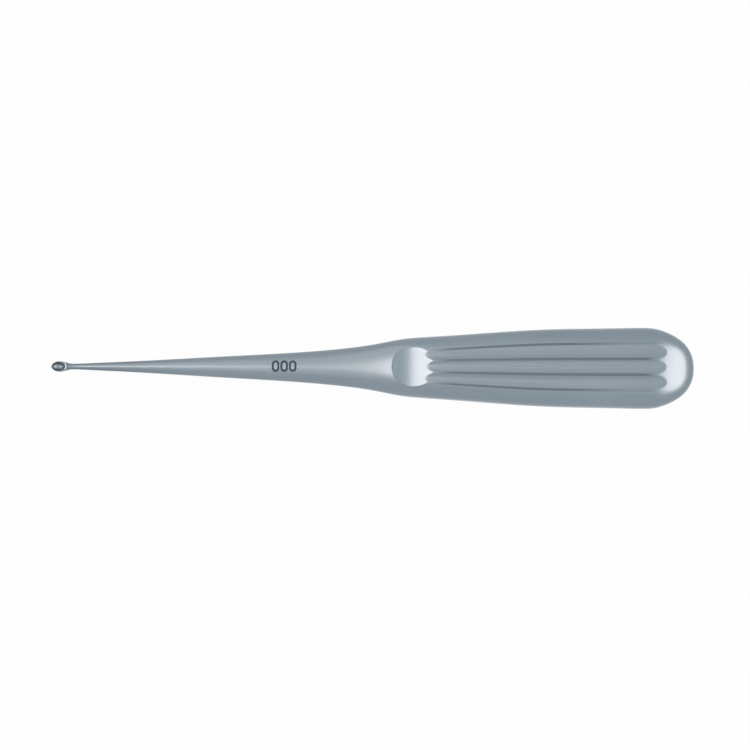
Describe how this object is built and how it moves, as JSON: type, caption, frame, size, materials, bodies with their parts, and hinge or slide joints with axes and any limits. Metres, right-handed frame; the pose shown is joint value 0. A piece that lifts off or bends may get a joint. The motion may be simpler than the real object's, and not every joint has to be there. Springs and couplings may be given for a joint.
{
  "type": "bone curette",
  "caption": "One-piece steel bone curette with a tiny spoon cup, a tapering round shank, a thumb rest and a fluted flat-oval handle.",
  "frame": {"origin": "middle of the tool's length and width, at the lowest point of the back flute crests it lies on", "axes": "+X along the tool from the cup to the butt, +Z out of the cup's mouth and the thumb rest, +Y to complete the right-handed set"},
  "size_m": [0.17, 0.0214, 0.0115],
  "materials": {
    "steel": "satin"
  },
  "bodies": {
    "root": {"curette": "steel"}
  },
  "joints": []
}
